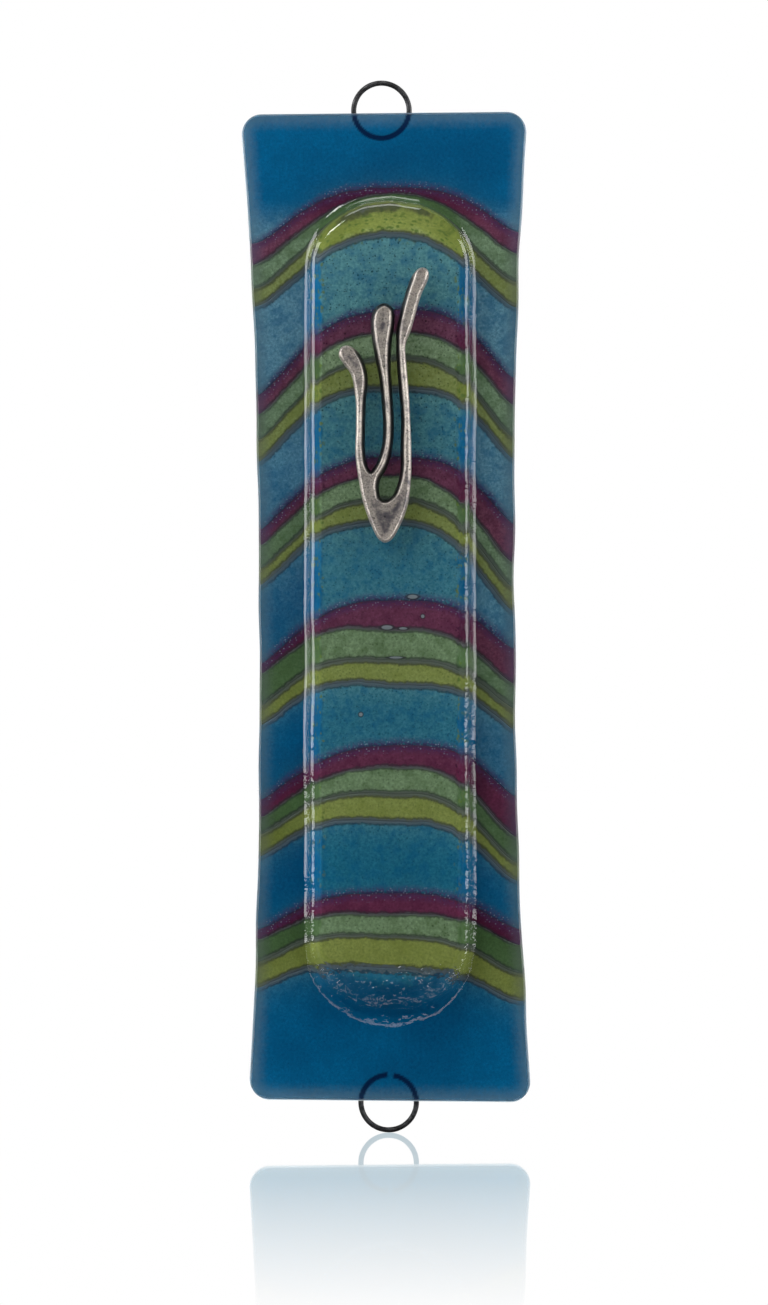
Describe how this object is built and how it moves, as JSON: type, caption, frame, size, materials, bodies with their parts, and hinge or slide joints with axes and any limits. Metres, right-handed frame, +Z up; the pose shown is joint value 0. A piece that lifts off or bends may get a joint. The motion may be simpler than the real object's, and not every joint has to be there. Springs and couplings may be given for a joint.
{
  "type": "mezuzah case",
  "caption": "Slumped fused-glass doorpost case with a raised ridge over an open scroll pocket, wavy enamel stripes, wire nail rings and a three-armed metal ornament.",
  "frame": {"origin": "middle of the flat back face above the scroll pocket, on the plane of the wall, 80 mm above the panel's centre", "axes": "+Z up along the case, +Y out of the back face into the wall, so the ridge and the ornament face -Y, and +X to the right as seen from the front"},
  "size_m": [0.052, 0.0157, 0.1898],
  "materials": {
    "front_clear_glass": "fire-polished, clear, slightly wavy",
    "back_clear_glass": "clear, fine kiln-shelf texture on the back",
    "blue_enamel": "translucent powdered-glass colour fused between the sheets",
    "maroon_enamel": "translucent powdered-glass colour fused between the sheets",
    "green_enamel": "translucent powdered-glass colour fused between the sheets",
    "lime_enamel": "translucent powdered-glass colour fused between the sheets",
    "dark_wire": "oxidised high-temperature wire",
    "antique_pewter": "cast pewter, blackened and rubbed back",
    "clear_adhesive": "clear cured glue"
  },
  "bodies": {
    "root": {"front_glass_sheet": "front_clear_glass", "back_glass_sheet": "back_clear_glass", "blue_enamel_1": "blue_enamel", "blue_enamel_2": "blue_enamel", "blue_enamel_3": "blue_enamel", "blue_enamel_4": "blue_enamel", "blue_enamel_5": "blue_enamel", "blue_enamel_6": "blue_enamel", "blue_enamel_7": "blue_enamel", "maroon_stripe_1": "maroon_enamel", "maroon_stripe_2": "maroon_enamel", "maroon_stripe_3": "maroon_enamel", "maroon_stripe_4": "maroon_enamel", "maroon_stripe_5": "maroon_enamel", "maroon_stripe_6": "maroon_enamel", "green_stripe_1": "green_enamel", "green_stripe_2": "green_enamel", "green_stripe_3": "green_enamel", "green_stripe_4": "green_enamel", "green_stripe_5": "green_enamel", "green_stripe_6": "green_enamel", "lime_stripe_1": "lime_enamel", "lime_stripe_2": "lime_enamel", "lime_stripe_3": "lime_enamel", "lime_stripe_4": "lime_enamel", "lime_stripe_5": "lime_enamel", "lime_stripe_6": "lime_enamel", "top_wire_ring": "dark_wire", "bottom_wire_ring": "dark_wire", "three_arm_ornament": "antique_pewter", "ornament_adhesive": "clear_adhesive"}
  },
  "joints": []
}
